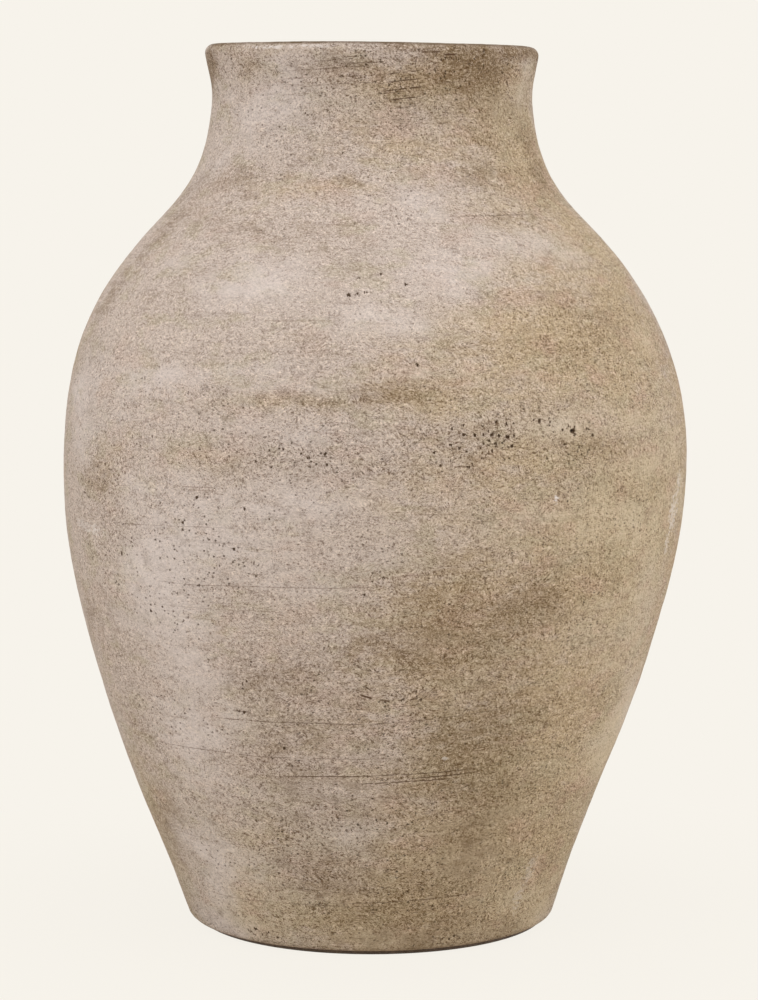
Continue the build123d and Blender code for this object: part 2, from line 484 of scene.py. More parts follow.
def make_relief():
    """Nodes that move a thrown piece's vertices in and out and keep how far, for the painted shade and light
    of the grit.
    """
    tree = bpy.data.node_groups.new("relief", "GeometryNodeTree")
    for way in ("INPUT", "OUTPUT"):
        tree.interface.new_socket("Geometry", in_out=way, socket_type="NodeSocketGeometry")
    start = Strand(tree)

    def stored(name, kind="FLOAT"):
        return start.node("GeometryNodeInputNamedAttribute", {"data_type": kind}, {"Name": name})

    rest, face = stored("rest", "FLOAT_VECTOR"), stored("face", "FLOAT_VECTOR")
    skin, hollow, pit, coarse = stored("skin"), stored("hollow"), stored("pit"), stored("coarse")
    swells = rest.stretched(1, 2.2).noise(9, 1) - 0.5
    rings = rest.stretched(0.02, 1).noise(95, 2, 0.6) - 0.5
    lumps = rest.stretched(1, 1.5).noise(105, 1) - 0.5
    pebbles = rest.stretched(1, 1.25).noise(265, 1.5, 0.6) - 0.5
    grit = lumps * lump_height + pebbles * pebble_height * (coarse + 0.5)
    outside = swells * swell + rings * throwing_rings + grit - pit
    ridges = rest.stretched(0.02, 1).noise(130, 0) - 0.5
    inside = ridges * finger_ridges + grit
    height = skin * outside + hollow * inside
    moved = start.node("ShaderNodeVectorMath", {"operation": "SCALE"}, {0: face, "Scale": height})
    entry = start.node("NodeGroupInput")
    shaped = start.node("GeometryNodeSetPosition", {}, {"Geometry": entry, "Offset": moved})
    kept = start.node("GeometryNodeStoreNamedAttribute", {}, {
        "Geometry": shaped, "Name": "relief", "Value": grit * grit_shown + 0.5,
    })
    start.node("NodeGroupOutput", {}, {"Geometry": kept})
    return tree


relief = make_relief()

# Stains and wash, as soft patches: angle, height, half width in degrees, half height in mm, strength
warm_patches = [  # yellow-brown clay that shows through the lilac wash
    (50, 110, 34, 110, 1.3), (20, 40, 24, 50, 0.9), (14, 178, 11, 34, 0.8), (52, 240, 32, 50, 1.2),
    (45, 310, 27, 26, 1.1), (68, 350, 14, 40, 1.1), (56, 410, 28, 34, 1.3), (18, 440, 22, 9, 0.9),
    (-18, 387, 18, 5, 0.5), (-44, 445, 9, 8, 0.4), (10, 292, 11, 11, 0.7), (-15, 286, 10, 4, 0.5),
    (-30, 257, 8, 8, 0.4), (-57, 245, 8, 13, 0.5), (-30, 40, 12, 34, 0.4), (-68, 60, 9, 46, 0.55),
    (-55, 320, 14, 10, 0.15), (88, 200, 16, 30, 0.6), (92, 90, 14, 30, 0.5), (-95, 300, 18, 20, 0.6),
    (-85, 60, 20, 30, 0.5), (-100, 400, 16, 12, 0.5), (-5, 15, 30, 16, 0.7), (-22, 66, 8, 10, 0.3),
    (2, 422, 24, 16, 0.35), (45, 445, 30, 14, 0.8), (0, 12, 200, 18, 0.25), (50, 50, 24, 30, 0.4),
    (72, 412, 8, 12, 0.5), (16, 258, 14, 12, 0.35), (38, 348, 14, 10, 0.35), (10, 310, 9, 8, 0.35),
    (40, 20, 30, 24, 0.5), (50, 318, 14, 14, 0.9), (8, 408, 20, 9, 0.3), (40, 370, 14, 20, 0.4),
    (65, 40, 10, 32, 0.8), (125, 120, 26, 80, 1.1), (150, 300, 30, 40, 1), (-150, 90, 30, 60, 1),
    (-160, 250, 20, 40, 0.8), (110, 420, 22, 24, 0.8), (-110, 330, 20, 24, 0.8), (172, 110, 20, 55, 0.9),
    (100, 280, 18, 40, 0.9), (-130, 150, 16, 40, 0.7), (-100, 255, 14, 36, 0.6), (180, 400, 24, 18, 0.7),
    (-130, 430, 22, 18, 0.7), (-100, 150, 12, 40, 0.6),
]
dark_patches = [  # brown stain
    (12, 185, 9, 22, 0.55), (20, 163, 13, 11, 0.35), (31, 183, 9, 14, 0.8), (20, 118, 14, 36, 0.55),
    (26, 74, 12, 36, 0.37), (18, 34, 20, 30, 0.57), (20, 8, 26, 14, 0.5), (-10, 42, 10, 12, 0.5),
    (-12, 150, 14, 11, 0.35), (-19, 112, 12, 30, 0.3), (-62, 62, 10, 24, 0.5), (-71, 40, 8, 30, 0.35),
    (-6, 100, 18, 50, 0.2), (60, 40, 10, 14, 0.2), (38, 445, 14, 10, 1.1), (-74, 452, 6, 6, 0.8),
    (14, 436, 10, 8, 0.6), (-45, 446, 7, 6, 0.45), (70, 408, 8, 12, 0.75), (72, 432, 6, 10, 0.35),
    (86, 453, 8, 5, 1.4), (28, 455, 9, 3, 0.4), (-60, 456, 9, 3, 0.3), (43, 308, 15, 8, 0.25),
    (-32, 368, 16, 9, 0.2), (25, 390, 12, 8, 0.25), (-10, 390, 8, 8, 0.2), (-38, 352, 14, 9, 0.2),
    (-10, 310, 8, 9, 0.25), (86, 300, 12, 14, 0.35), (14, 458.3, 12, 2.2, 0.7), (36, 457.5, 14, 2.5, 0.6),
    (54, 456.5, 12, 4, 0.8), (72, 457, 12, 3.5, 1.1), (-62, 459, 10, 1.6, 0.8), (-44, 457, 8, 2, 0.3),
    (-42, 330, 12, 8, 0.25), (-66, 330, 9, 9, 0.2), (-10, 350, 8, 8, 0.2), (20, 370, 8, 7, 0.2),
    (8, 289, 9, 6, 0.5), (39, 261, 11, 7, 0.3), (22, 268, 8, 7, 0.1), (-58, 243, 7, 9, 0.5),
    (-27, 253, 7, 6, 0.3), (-20, 284, 14, 5, 0.15), (47, 374, 14, 2.5, 0.4), (40, 369, 12, 6, 0.2),
    (-20, 50, 8, 8, 0.35), (-8, 447, 18, 7, 0.4), (22, 424, 16, 8, 0.3), (60, 425, 14, 7, 0.25),
    (-52, 172, 12, 12, 0.2), (-60, 110, 6, 18, 0.25), (8, 252, 8, 6, 0.2), (52, 326, 13, 12, 0.45),
    (24, 330, 12, 7, 0.2), (-70, 332, 6, 34, 0.42), (0, 424, 22, 12, 0.3), (-42, 342, 15, 10, 0.2),
    (-84, 446, 9, 8, 2.2), (40, 440, 12, 6, 0.5), (44, 454, 22, 5, 0.35), (60, 390, 7, 8, 0.4),
    (-72, 390, 7, 9, 0.4), (42, 429, 16, 9, 0.25), (57, 434, 12, 10, 0.2), (36, 391, 11, 8, 0.6),
    (66, 392, 8, 8, 0.45), (42, 410, 9, 7, 0.4), (50, 10, 11, 8, 0.45), (-60, 389, 15, 9, 0.5),
    (-47, 391, 10, 8, 0.4), (10, 292, 8, 6, 0.35), (0, 170, 5, 8, 0.3), (-60, 270, 7, 8, 0.25),
    (50, 450, 10, 7, 0.25), (-70, 451, 5, 7, 0.4), (16, 310, 9, 6, 0.28), (-6, 286, 5, 4, 0.25),
    (10, 270, 7, 6, 0.4), (-4, 252, 10, 5, 0.22), (13, 207, 8, 8, 0.28), (33, 140, 9, 15, 0.28),
    (10, 52, 8, 10, 0.3), (-71, 170, 5, 12, 0.55), (-66, 372, 8, 12, 0.35), (-45, 370, 14, 8, 0.25),
    (-15, 360, 12, 12, 0.15), (110, 300, 14, 18, 0.6), (140, 200, 16, 30, 0.65), (172, 290, 14, 8, 0.7),
    (-150, 190, 12, 28, 0.65), (-120, 320, 12, 14, 0.5), (-95, 100, 12, 30, 0.5), (165, 60, 24, 30, 0.7),
    (-140, 40, 18, 24, 0.6), (-165, 120, 12, 26, 0.5), (150, 256, 11, 9, 0.5), (-132, 252, 9, 9, 0.45),
    (-176, 352, 14, 6, 0.4), (115, 180, 10, 24, 0.45), (96, 398, 8, 10, 0.45), (-160, 405, 12, 7, 0.4),
    (176, 190, 8, 24, 0.4), (130, 442, 14, 9, 0.9), (-150, 440, 12, 8, 0.6), (-100, 436, 9, 8, 0.5),
    (100, 30, 14, 20, 0.4),
]
olive_patches = [  # green-grey cast
    (0, 40, 240, 80, 0.3), (18, 112, 11, 24, 0.7), (28, 88, 9, 34, 0.6), (46, 216, 15, 28, 0.4),
    (58, 190, 12, 44, 0.35), (-8, 62, 9, 10, 0.35), (46, 425, 11, 12, 0.5), (-73, 100, 4, 40, 0.4),
    (40, 240, 12, 9, 0.4), (-20, 284, 15, 5, 0.4), (40, 390, 12, 14, 0.3), (-40, 50, 16, 30, 0.35),
    (0, 20, 16, 14, 0.25), (22, 224, 8, 10, 0.3), (60, 135, 8, 10, 0.35), (-22, 128, 9, 18, 0.3),
    (70, 445, 5, 9, 0.3), (125, 240, 20, 30, 0.6), (-170, 150, 18, 36, 0.6), (-110, 260, 14, 22, 0.5),
    (150, 360, 16, 12, 0.4), (-130, 90, 16, 30, 0.5), (100, 160, 14, 34, 0.5), (180, 440, 20, 9, 0.4),
]
pale_patches = [  # lime left thick
    (-42, 419, 14, 12, 0.6), (-60, 405, 12, 20, 0.35), (-22, 343, 14, 16, 0.7), (-50, 349, 8, 6, 0.4),
    (-36, 298, 10, 6, 0.5), (-66, 280, 8, 32, 0.9), (0, 326, 14, 11, 0.5), (15, 352, 17, 15, 0.65),
    (14, 382, 9, 10, 0.75), (38, 359, 12, 9, 0.65), (50, 354, 8, 7, 0.45), (-20, 301, 9, 6, 0.35),
    (-38, 212, 13, 16, 0.85), (-42, 180, 10, 24, 0.7), (-34, 149, 10, 20, 0.65), (-41, 108, 9, 24, 0.6),
    (-44, 48, 9, 22, 0.6), (-42, 18, 12, 14, 0.45), (-54, 12, 11, 8, 0.6), (5, 10, 12, 7, 0.6),
    (-66, 40, 8, 20, 0.4), (32, 30, 8, 8, 0.25), (-12, 236, 10, 12, 0.75), (-13, 270, 7, 7, 0.5),
    (-15, 205, 11, 15, 0.35), (69, 440, 6, 11, 0.8), (73, 226, 4, 13, 0.6), (54, 432, 9, 10, 0.35),
    (62, 250, 10, 40, 0.25), (68, 112, 9, 26, 1), (66, 175, 7, 22, 0.5), (8, 170, 6, 8, 0.3),
    (26, 50, 10, 9, 0.5), (16, 168, 9, 8, 0.35), (-50, 170, 8, 10, 0.35), (60, 200, 9, 34, 0.35),
    (-30, 441, 11, 15, 0.75), (-50, 291, 9, 8, 0.35), (-20, 270, 9, 9, 0.4), (-10, 290, 8, 5, 0.3),
    (-12, 450, 14, 5, 0.3), (50, 250, 9, 8, 0.5), (56, 146, 6, 9, 0.35), (46, 26, 3, 12, 0.2),
    (24, 228, 10, 10, 0.4), (44, 226, 13, 14, 0.6), (34, 270, 8, 7, 0.4), (66, 311, 8, 8, 0.35),
    (-66, 222, 5, 8, 0.3), (-26, 378, 22, 10, 0.1), (8, 300, 6, 4, 0.35), (-20, 420, 16, 14, 0.3),
    (66, 345, 8, 10, 0.3), (-25, 240, 16, 60, 0.15), (105, 375, 14, 14, 0.7), (160, 330, 22, 16, 0.8),
    (-160, 385, 16, 14, 0.6), (-105, 345, 14, 20, 0.7), (130, 130, 10, 34, 0.6), (-125, 200, 10, 34, 0.7),
    (180, 230, 12, 14, 0.5), (-90, 50, 9, 26, 0.5), (115, 400, 12, 10, 0.4), (-175, 20, 12, 20, 0.4),
    (100, 240, 9, 24, 0.5), (-145, 300, 14, 10, 0.5), (70, 450, 6, 6, 0.5), (-27, 428, 10, 10, 0.4),
    (-36, 288, 9, 7, 0.3), (30, 268, 14, 9, 0.35), (-46, 240, 9, 12, 0.3), (0, 208, 8, 9, 0.35),
    (-30, 188, 7, 9, 0.25), (-10, 190, 6, 9, 0.3), (-52, 168, 8, 9, 0.3), (50, 172, 9, 10, 0.5),
    (-30, 150, 8, 9, 0.3), (-40, 120, 9, 14, 0.3), (61, 96, 11, 15, 0.5), (73, 110, 5, 14, 1.2),
    (-12, 88, 9, 10, 0.45), (-53, 68, 9, 9, 0.4), (-5, 70, 9, 9, 0.3), (20, 70, 7, 9, 0.8),
    (-48, 50, 20, 10, 0.4), (28, 50, 9, 9, 1), (-52, 30, 10, 9, 0.3), (48, 28, 22, 9, 0.4),
    (-42, 9, 18, 7, 0.55), (-35, 50, 14, 9, 0.3), (-10, 70, 12, 9, 0.3), (24, 70, 8, 9, 0.3),
    (0, 88, 26, 8, 0.2), (55, 90, 18, 9, 0.3), (-73, 110, 5, 9, 0.4), (12, 172, 8, 8, 0.5),
    (-10, 30, 8, 8, 0.3), (20, 150, 7, 8, 0.25), (-36, 215, 14, 24, 0.4), (46, 228, 10, 9, 0.35),
    (52, 270, 9, 9, 0.35), (70, 30, 7, 10, 0.4), (-2, 70, 6, 9, 0.3), (30, 70, 6, 9, 0.3),
    (70, 190, 6, 10, 0.3), (56, 250, 12, 9, 0.35), (70, 255, 6, 14, 0.35), (-52, 270, 8, 8, 0.2),
    # The bands at the end that run all round, and the wide one at 110 mm, are painted light and shade by
    # height: lighter at the foot, low belly and neck, darker over the shoulder.
    (6, 9, 9, 7, 0.3), (35, 9, 9, 7, 0.35), (66, 10, 9, 8, 0.5), (0, 8, 200, 9, 0.25), (0, 50, 200, 24, 0.12),
    (-10, 110, 60, 12, 0.18), (72, 102, 7, 12, 0.4), (0, 345, 200, 38, -0.08), (0, 430, 200, 12, 0.15),
    (38, 235, 9, 50, 0.15), (-2, 185, 32, 50, -0.07),
]
coarse_patches = [  # where the grit and small hollows stand open
    (21, 269, 9, 9, 1), (35, 271, 7, 9, 0.9), (-12, 262, 14, 13, 0.8), (0, 190, 20, 40, 0.15),
    (-10, 335, 70, 36, -0.35), (42, 235, 26, 60, 0.3), (-10, 60, 24, 40, 0.8), (5, 140, 20, 24, 0.4),
    (-22, 424, 14, 10, 0.6), (60, 250, 12, 30, 0.4), (35, 40, 20, 30, 0.5), (-60, 250, 12, 40, 0.5),
    (0, 450, 180, 9, 0.6), (-45, 120, 16, 40, 0.5), (-38, 212, 20, 36, 0.8), (0, 440, 90, 20, 0.6),
    (10, 60, 70, 60, 0.42), (120, 262, 14, 12, 0.9), (165, 275, 12, 10, 0.8), (-140, 268, 16, 14, 0.9),
    (150, 120, 22, 34, 0.6), (-165, 60, 24, 28, 0.6), (-100, 190, 16, 34, 0.6), (-46, 16, 22, 18, 0.7),
]


def painted(patches, places):
    """The patches' strength at each vertex, with ragged outlines."""
    x, y, z = places.T * 1000
    angle = np.degrees(np.arctan2(x, -y))
    angle = angle + 1.6 * np.sin(z / 7.3) + 1.1 * np.sin(z / 3.1 + angle / 5) + 2.2 * np.sin(z / 23 + 1)
    wave = 2.4 * np.sin(angle / 2.3 + z / 19) + 1.5 * np.sin(angle / 0.9 + 2) + 3 * np.sin(angle / 7)
    total = np.zeros(len(z))
    for at, height, wide, tall, strength in patches:
        aside = (angle - at + 180) % 360 - 180
        above = z + wave * min(1, tall / 18) - height
        total += strength * np.exp(-(aside / wide) ** 2 - (above / tall) ** 2)
    return 1 - np.exp(-total)


washed_inside = (0.425, 0.452)  # heights between which the stains and the wash end inside the neck


def fire(piece, node, finish):
    """Gives a thrown piece its pits, stains, relief and finish, and makes it stand for its node."""
    mesh = piece.data
    mesh.materials.append(finish)
    places = places_of(mesh)
    angle = np.arctan2(places[:, 1], places[:, 0])
    outward, upward = numbers(mesh, "outward"), numbers(mesh, "upward")
    length = np.maximum(np.hypot(outward, upward), 1e-9)
    outward, upward = outward / length, upward / length
    face = np.column_stack([outward * np.cos(angle), outward * np.sin(angle), upward])
    keep_numbers(mesh, "rest", places)
    keep_numbers(mesh, "face", face)
    keep_numbers(mesh, "pit", pit_depths(places))
    over_lip = ease(places[:, 2], *washed_inside)
    keep_numbers(mesh, "outer", np.maximum(numbers(mesh, "skin"), over_lip))
    for name, patches in (("warm", warm_patches), ("dark", dark_patches), ("olive", olive_patches),
                          ("pale", pale_patches), ("coarse", coarse_patches)):
        keep_numbers(mesh, name, painted(patches, places))
    mesh.vertices.foreach_set("co", by_hand(places).astype(np.float32).ravel())
    alone(piece)
    modifier = piece.modifiers.new("relief", "NODES")
    modifier.node_group = relief
    bpy.ops.object.modifier_apply(modifier="relief")
    for name in ("outward", "upward", "skin", "hollow", "along", "face"):
        mesh.attributes.remove(mesh.attributes[name])
    bpy.ops.object.shade_smooth_by_angle(angle=math.radians(55))
    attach(piece, "root")
    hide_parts(node)


scratched_lines = [  # angle, height, half length in degrees, rise in mm a degree, half width in mm, strength
    (-20, 195.5, 26, 0.06, 0.3, 0.5), (12, 197.6, 16, 0.08, 0.3, 0.35), (-38, 223, 16, 0.08, 0.3, 0.4),
    (-31, 243, 4, 0.05, 0.3, 0.5), (-30, 241.4, 3, 0.05, 0.25, 0.4), (-16, 127, 20, 0.01, 0.4, 0.6),
    (12, 129.5, 16, 0.18, 0.4, 0.5), (-22, 108.5, 34, 0.02, 0.35, 0.5), (2, 100, 26, 0.08, 0.45, 0.8),
    (8, 96.5, 12, 0.1, 0.45, 0.9), (16, 99, 8, 0.12, 0.5, 0.9), (16, 203, 14, 0.1, 0.3, 0.4),
    (-24, 27.5, 34, 0.03, 0.4, 0.4), (10, 31, 22, 0.08, 0.4, 0.6), (-44, 58, 20, 0, 0.3, 0.35),
    (35, 373.5, 17, 0.05, 0.45, 0.35), (-28, 183, 16, 0.03, 0.3, 0.35), (11.5, 432.4, 6, 0.2, 0.5, 1),
    (7, 435.2, 7, 0.2, 0.4, 0.5), (11, 437.2, 8, 0.2, 0.5, 1), (11.2, 441.4, 6.5, 0.2, 0.45, 0.9),
    (11.2, 445.4, 6.5, 0.2, 0.5, 1), (12, 427.8, 5, 0.2, 0.4, 0.5), (-4, 443, 9, 0.12, 0.35, 0.55),
    (-6, 439.4, 9, 0.12, 0.35, 0.5), (-10, 447, 12, 0.1, 0.35, 0.55), (-14, 450.5, 7, 0.1, 0.4, 0.4),
    (-9, 452, 5, 0.1, 0.4, 0.5), (-26, 448.5, 6, 0.06, 0.4, 0.35), (-24, 442, 7, 0.06, 0.4, 0.3),
    (-18, 438, 8, 0.1, 0.35, 0.3), (-2, 449.5, 8, 0.12, 0.4, 0.6), (-22, 446, 14, 0.05, 0.3, 0.4),
    (-26, 434, 10, 0.05, 0.3, 0.25), (30, 441, 12, 0.1, 0.3, 0.45), (-0.7, 141.5, 1.4, -0.8, 0.75, 1),
    (2.8, 139.8, 1.3, -0.5, 0.7, 0.9), (-0.2, 145.5, 0.8, -1.8, 0.6, 0.9), (7.5, 137, 2.8, 0.15, 0.35, 0.6),
    (9.5, 151, 0.8, 1, 0.7, 0.9), (8.5, 140.5, 0.9, 0.6, 0.6, 0.8), (11, 158.5, 1.1, 0.1, 0.6, 0.5),
    (-26, 131.3, 2.4, -0.1, 0.6, 0.5), (46, 30, 3.5, 3.2, 0.4, 0.35), (44, 20, 2.5, 3.4, 0.4, 0.3),
    (-50, 215, 4, -0.8, 0.35, 0.6), (15.5, 254.6, 1.8, 0.05, 0.4, 0.6), (20, 455.6, 4, 0.05, 0.6, 1),
    (27, 454.4, 3, 0.05, 0.6, 1), (100, 372, 30, 0.03, 0.35, 0.5), (-120, 330, 26, 0.02, 0.35, 0.5),
    (160, 240, 30, -0.02, 0.35, 0.5), (-150, 128, 34, 0.02, 0.35, 0.5), (120, 60, 28, 0.03, 0.35, 0.5),
]
scuffs = [  # angle, height, half length in degrees, half height in mm, strength
    (32.5, 237, 0.6, 1.8, 0.8), (32.1, 237.7, 0.7, 0.6, 0.4), (70, 222, 2.4, 10, 0.45),
    (72, 238, 1.4, 5, 0.4), (68, 207, 1.4, 5, 0.35), (-64, 217, 5, 2.6, 0.3), (-60, 214.5, 4, 1.6, 0.3),
    (-36, 457.2, 10, 0.8, 0.7), (-20, 457.6, 6, 0.7, 0.5), (47, 24, 2, 8, 0.2), (49, 40, 2, 8, 0.2),
    (16, 108, 0.7, 1, 0.4), (140, 300, 1.6, 3, 0.5), (-120, 180, 1.6, 4, 0.5), (170, 90, 1.6, 3, 0.4),
]


def seen(red, green, blue):
    """A colour as it looks on a screen, as the shares of light that a shader takes."""
    return tuple(((c / 255 + 0.055) / 1.055) ** 2.4 for c in (red, green, blue)) + (1.0,)


def blend(share, under, over):
    """One colour laid over another, by a share."""
    return share.node("ShaderNodeMix", {"data_type": "RGBA"}, {0: share, 6: under, 7: over}, out=2)


def layered(colour, layers):
    """A colour with further ones laid over it in turn."""
    for share, over in layers:
        colour = blend(share, colour, over)
    return colour


def bare_tree(owner):
    """The emptied node tree of a material or a world, as a strand to start from."""
    owner.use_nodes = True
    owner.node_tree.nodes.clear()
    return Strand(owner.node_tree)


grey_buff, yellow_buff = seen(190, 175, 165), seen(185, 164, 133)
rosy_blush, mossy_cast, olive_stain = seen(187, 155, 135), seen(168, 157, 128), seen(162, 151, 120)
grey_lime, yellow_lime, chalk_white = seen(212, 201, 197), seen(206, 190, 164), seen(226, 219, 216)
brown_stain, painted_grit_highlight, bare_clay = seen(128, 106, 78), seen(222, 208, 194), seen(150, 118, 92)
grey_speck_and_shade, yellow_speck_and_shade = seen(94, 71, 51), seen(100, 74, 38)
grey_fleck_and_highlight, yellow_fleck_and_highlight = seen(240, 223, 210), seen(228, 205, 173)
hairline, dot_brown, hollow_brown = seen(82, 62, 42), seen(66, 48, 32), seen(60, 45, 31)
scored_brown, scratch_brown = seen(88, 68, 48), seen(84, 61, 44)
rubbed_lip, stained_crest = seen(194, 171, 150), seen(100, 80, 58)
pit_brown, pit_painted_shade = seen(74, 53, 33), seen(30, 22, 16)
swirl_width = 0.006  # metres by which the grain is pushed aside in slow swirls
light_side = (0.0004, 0.0004, 0.0005)  # metres between a grain and the shade it throws


def clay_finish(name):
    """Fired clay, stained brown and olive, rubbed with lime and worn, with painted shade and light in its
    grain and painted shade in its deepest pits.
    """
    material = bpy.data.materials.new(name)
    start = bare_tree(material)

    def stored(name, out=2):
        return start.node("ShaderNodeAttribute", {"attribute_name": name}, out=out)

    def grains(places):
        return places.stretched(1, 1.3).noise(500, 3, 0.7)

    rest = stored("rest", out=1)
    warm, dark, olive = stored("warm"), stored("dark"), stored("olive")
    pale, coarse = stored("pale"), stored("coarse")
    grit_shade_and_light, pit, outer = stored("relief"), stored("pit"), stored("outer")

    parts = rest.node_from("ShaderNodeSeparateXYZ")
    across = parts.math("ARCTAN2", parts.other(1) * -1) * (180 / math.pi)
    up = parts.other(2) * 1000
    near_rim = up.eased(405, 442)

    # Slow changes of colour and their ragged edges
    cloud = rest.stretched(1, 2).noise(15, 2, 0.6) - 0.5
    drift = rest.stretched(1, 1.7).noise(21, 2, 0.6) - 0.5
    smear = rest.stretched(1, 3).noise(60, 3, 0.65) - 0.5
    mottle = rest.stretched(1, 1.6).noise(150, 3, 0.65) - 0.5
    edge = smear + mottle * 0.8
    blush = rest.stretched(1, 1.8).noise(38, 2, 0.6)
    moss = rest.stretched(1, 2).noise(47, 2, 0.6)

    washed = (pale + cloud * 0.8 + edge * 1.1).eased(0, 0.85)
    buff = blend((warm + drift * 0.7 + edge * 0.8).eased(0, 0.85), grey_buff, yellow_buff)
    lime = blend((warm + drift * 0.6).eased(0.15, 0.8), grey_lime, yellow_lime)
    colour = layered(buff, [
        (blush.eased(0.5, 0.68) * (warm * 0.45 + 0.18), rosy_blush),
        (moss.eased(0.5, 0.68) * 0.45, mossy_cast),
        ((olive - drift * 0.6 + edge * 0.6).eased(0, 0.9) * 0.65, olive_stain),
        (washed * 0.78, lime),
        ((dark - cloud * 0.6 + edge * 0.8).eased(0.02, 0.85) * 0.85, brown_stain),
    ])

    # Grain with painted shade and light, hairlines, round hollows and scored lines
    rough = (coarse * 0.4 + warm * 0.45 + dark * 0.45 + olive * 0.2 + 0.6) * (1 - washed * 0.68)
    swirl = rest.noise(85, 1).other(1)
    bent = swirl.vectors("MULTIPLY_ADD", (swirl_width,) * 3, rest)
    grain = grains(bent)
    sand = bent.stretched(1, 1.5).noise(1150, 2, 0.75)
    # lit is the grain with painted shade on the upper wall of each hollow and painted light on its lower lip,
    # as from a lamp above.
    lit = grain + (grain - grains(bent.vectors("ADD", light_side))) * 0.4
    worm = rest.stretched(1, 2).noise(330, 1)
    hair = (worm - 0.5).math("ABSOLUTE").eased(0.045, 0.008) * rest.noise(170).eased(0.5, 0.62)

    def dots(scale, near, far, share):
        """Round hollows: how many to the metre, their radii in shares of a cell and the share left out."""
        cells = rest.stretched(1, 1.25).node_from("ShaderNodeTexVoronoi", {"Scale": scale})
        chosen = cells.other(1).node_from("ShaderNodeSeparateColor", {}, entry=0)
        return (cells + sand * 0.36 - 0.18).eased(far, near) * chosen.eased(share, share + 0.3)

    crowded = rest.noise(26).eased(0.4, 0.62)
    dot = dots(400, 0.17, 0.33, 0.55) * (crowded * 0.6 + coarse * 0.7 + 0.08)
    hollow = dots(210, 0.1, 0.18, 0.5) * (crowded * 0.5 + coarse * 0.5 + 0.2)
    thrown = rest.stretched(0.04, 1).noise(330, 3, 0.75)
    climbing = start.node("ShaderNodeVectorRotate", {"rotation_type": "Y_AXIS"},
                          {"Vector": rest, "Angle": 0.05})
    scored = climbing.stretched(1, 8).noise(190, 3, 0.7).eased(0.37, 0.25)
    scored = scored * rest.stretched(1, 2).noise(30, 1).eased(0.4, 0.6)

    brown = warm * 0.6 + olive * 0.4
    # The speck and fleck colours serve the real grain and also the painted shade and light.
    speck_and_shade, fleck_and_highlight = blend(brown, grey_speck_and_shade, yellow_speck_and_shade), blend(brown, grey_fleck_and_highlight, yellow_fleck_and_highlight)
    clean = 1.1 - dark * 0.35 - washed * 0.5
    colour = layered(colour, [
        # Painted shade in the grit's hollows and painted light on its raised tops, taken from its height.
        (grit_shade_and_light.eased(0.45, 0.1) * 0.3, speck_and_shade),
        (grit_shade_and_light.eased(0.58, 0.9) * 0.15, painted_grit_highlight),
        (lit.eased(0.485, 0.26) * rough * 0.85, speck_and_shade),
        (lit.eased(0.535, 0.74) * clean * 0.44, fleck_and_highlight),
        (sand.eased(0.47, 0.28) * rough * 1.5, speck_and_shade),
        (sand.eased(0.54, 0.72) * clean * 0.7, fleck_and_highlight),
        (hair * rough * 0.5, hairline),
        (dot * 0.85, dot_brown),
        (hollow * 0.85, hollow_brown),
        (thrown.eased(0.4, 0.26) * 0.3, speck_and_shade),
        (thrown.eased(0.6, 0.74) * 0.2, fleck_and_highlight),
        (scored * (0.45 + near_rim * 0.35), scored_brown),
    ])

    # Scratches and chalky scuffs
    wobble = (rest.noise(22, 1) - 0.5) * 2 + (rest.noise(420, 1) - 0.5) * 0.5
    broken = rest.noise(230).eased(0.27, 0.48)
    scratches = start.node("ShaderNodeValue")
    scratches.socket.default_value = 0
    for angle, height, half_long, climb, half_wide, strength in scratched_lines:
        aside = across - angle
        off = (up - height + aside * -climb + wobble).math("ABSOLUTE").eased(half_wide, half_wide * 0.3)
        along = aside.math("ABSOLUTE").eased(half_long, half_long * 0.6)
        scratches = scratches.math("MAXIMUM", off * along * strength)
    colour = blend(scratches * broken, colour, scratch_brown)
    chalk = (rest.stretched(1, 2).noise(330, 2, 0.7) - 0.5) * 9
    for angle, height, half_long, half_high, strength in scuffs:
        there = ((across - angle) * (1 / half_long)) ** 2 + ((up - height) * (1 / half_high)) ** 2
        colour = blend((there + chalk).eased(1, 0.2) * strength, colour, chalk_white)

    # Rubbed lip, pits with painted shade in the deepest, and the bare inside
    lip = (up + smear * 5).eased(451.5, 455.5)
    crest = (up + wobble * 0.4).eased(458.2, 459.5)
    colour = layered(colour, [
        (lip * (1 - crest) * (0.14 + smear * 0.8 - dark * 0.4), rubbed_lip),
        (crest * (0.66 - drift * 1.6 + mottle * 1.2).held(), stained_crest),
        ((pit * (1 + mottle)).eased(0.00008, 0.00035) * 0.93, pit_brown),
        # Painted shade at the bottom of the deepest pits.
        (pit.eased(0.00065, 0.00095) * 0.85, pit_painted_shade),
        ((1 - outer) * 0.9, bare_clay),
    ])

    bumps = grain * (coarse * 0.0005 + 0.0004) + sand * (0.0003 + near_rim * 0.0001)
    bump = start.node("ShaderNodeBump", {}, {"Distance": 1.0, "Height": bumps})
    shader = start.node("ShaderNodeBsdfPrincipled", {}, {
        "Base Color": colour, "Roughness": 0.93 - sand * 0.1, "Specular IOR Level": 0.25, "Normal": bump,
    })
    start.node("ShaderNodeOutputMaterial", {}, {"Surface": shader})
    return material


fired_clay = clay_finish("fired_clay")
floor_slab = throw("floor_slab", "floor_slab_beaten", 0.0014)
fire(floor_slab, "floor_slab", fired_clay)


